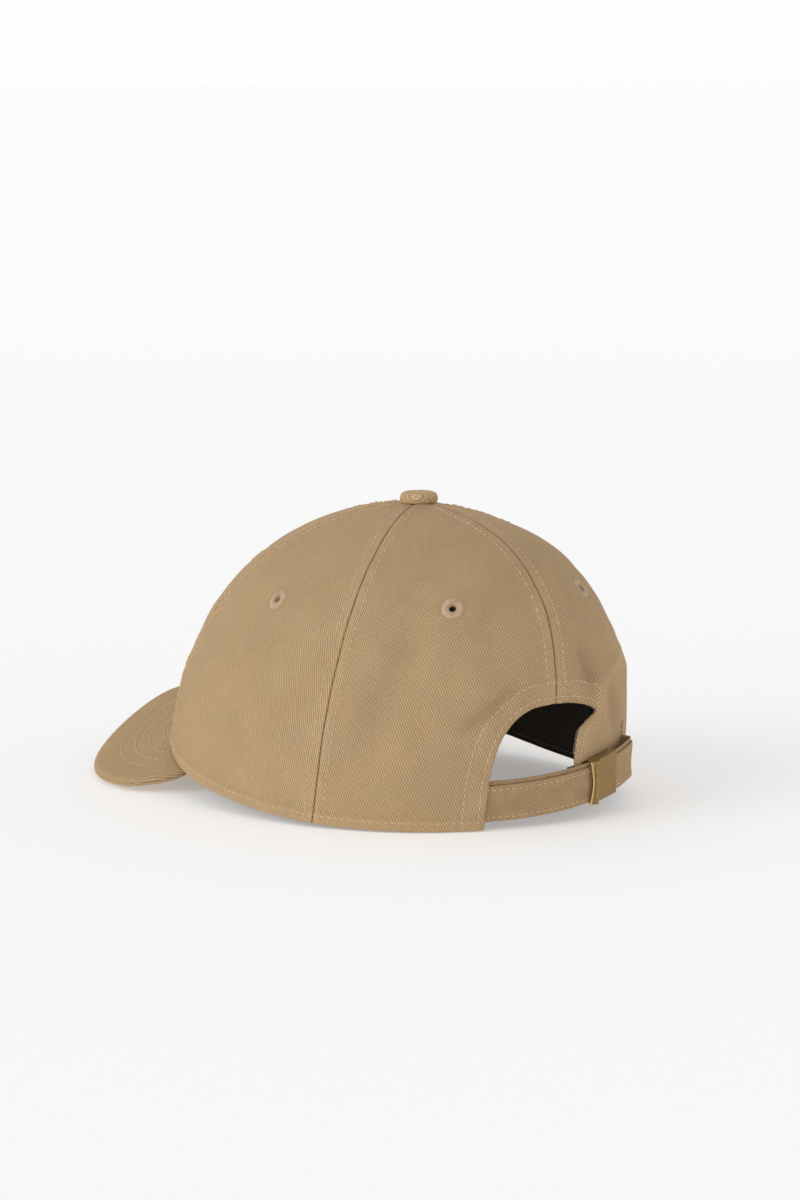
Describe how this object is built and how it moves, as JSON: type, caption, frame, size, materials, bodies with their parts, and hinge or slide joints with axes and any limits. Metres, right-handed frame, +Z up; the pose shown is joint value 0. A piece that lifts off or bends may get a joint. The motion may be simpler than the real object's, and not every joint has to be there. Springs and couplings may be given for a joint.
{
  "type": "baseball cap",
  "caption": "Six-panel cotton twill baseball cap with curved visor, covered top button, stitched eyelets and a rear arch with a cloth strap closed by a flip buckle.",
  "frame": {"origin": "on the resting plane under the middle of the crown's hem (the head opening)", "axes": "+Z up, visor towards -Y, rear arch and strap towards +Y, wearer's left towards +X"},
  "size_m": [0.1888, 0.256, 0.1215],
  "materials": {
    "crown_twill": "brushed cotton twill, washed",
    "visor_twill": "brushed cotton twill with rows of topstitching",
    "strap_twill": "folded cotton twill, edge-stitched",
    "button_twill": "cotton twill pulled over a metal shell",
    "eyelet_thread": "satin-stitched thread",
    "buckram": "open stiffened cotton mesh",
    "seam_tape": "woven cotton tape",
    "sweatband": "folded twill sweatband",
    "visor_board": "moulded polyethylene board",
    "button_metal": "pressed aluminium",
    "antique_brass": "antiqued, satin, worn bright on the edges"
  },
  "bodies": {
    "crown": {"front_panel_left": "crown_twill", "front_panel_right": "crown_twill", "side_panel_left": "crown_twill", "side_panel_right": "crown_twill", "rear_panel_left": "crown_twill", "rear_panel_right": "crown_twill", "front_buckram_left": "buckram", "front_buckram_right": "buckram", "tape_front_centre": "seam_tape", "tape_rear_centre": "seam_tape", "tape_front_left": "seam_tape", "tape_front_right": "seam_tape", "tape_rear_left": "seam_tape", "tape_rear_right": "seam_tape", "arch_facing": "seam_tape", "sweatband": "sweatband", "visor_board": "visor_board", "visor_top_cover": "visor_twill", "visor_under_cover": "visor_twill", "button_shell": "button_metal", "button_cover": "button_twill", "button_rivet": "button_metal", "eyelet_front_left": "eyelet_thread", "eyelet_front_right": "eyelet_thread", "eyelet_side_left": "eyelet_thread", "eyelet_side_right": "eyelet_thread", "eyelet_rear_left": "eyelet_thread", "eyelet_rear_right": "eyelet_thread", "strap_tail": "strap_twill", "buckle_frame": "antique_brass", "buckle_pin": "antique_brass", "buckle_tab": "strap_twill"},
    "strap": {"strap": "strap_twill"},
    "flap": {"buckle_flap": "antique_brass"}
  },
  "joints": [
    {"name": "strap_slide", "type": "hinge", "parent": "crown", "child": "strap", "pos_m": [-0.00752, 0.02749, 0.0267], "axis": [0.1045, 0.1516, 0.9829], "range_deg": [-8, 6]},
    {"name": "flap_hinge", "type": "hinge", "parent": "crown", "child": "flap", "pos_m": [-0.02104, 0.10422, 0.0163], "axis": [-0.1045, -0.1516, -0.9829], "range_deg": [0, 100]}
  ]
}
